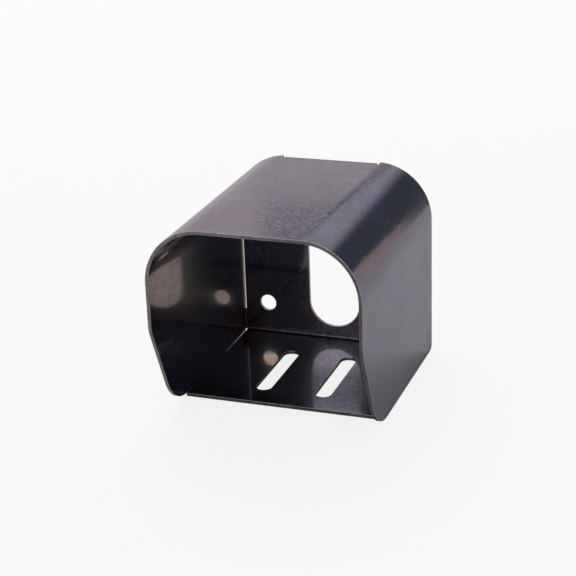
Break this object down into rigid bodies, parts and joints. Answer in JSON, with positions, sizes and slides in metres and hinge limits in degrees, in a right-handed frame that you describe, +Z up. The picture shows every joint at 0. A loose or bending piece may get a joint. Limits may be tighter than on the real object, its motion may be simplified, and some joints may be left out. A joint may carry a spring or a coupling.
{
  "type": "camera housing",
  "caption": "Folded sheet-steel camera hood with rounded shoulders, an open front, a slotted floor, and a back with a screw hole and a cable opening.",
  "frame": {"origin": "centre of the object's footprint, at the underside of the floor plate", "axes": "+Z up, -Y out of the open front, +Y out of the back, +X to the right as seen from the front"},
  "size_m": [0.09, 0.1032, 0.0864],
  "materials": {
    "steel": "bare cold-rolled sheet, dark semi-mirror"
  },
  "bodies": {
    "root": {"housing": "steel"}
  },
  "joints": []
}
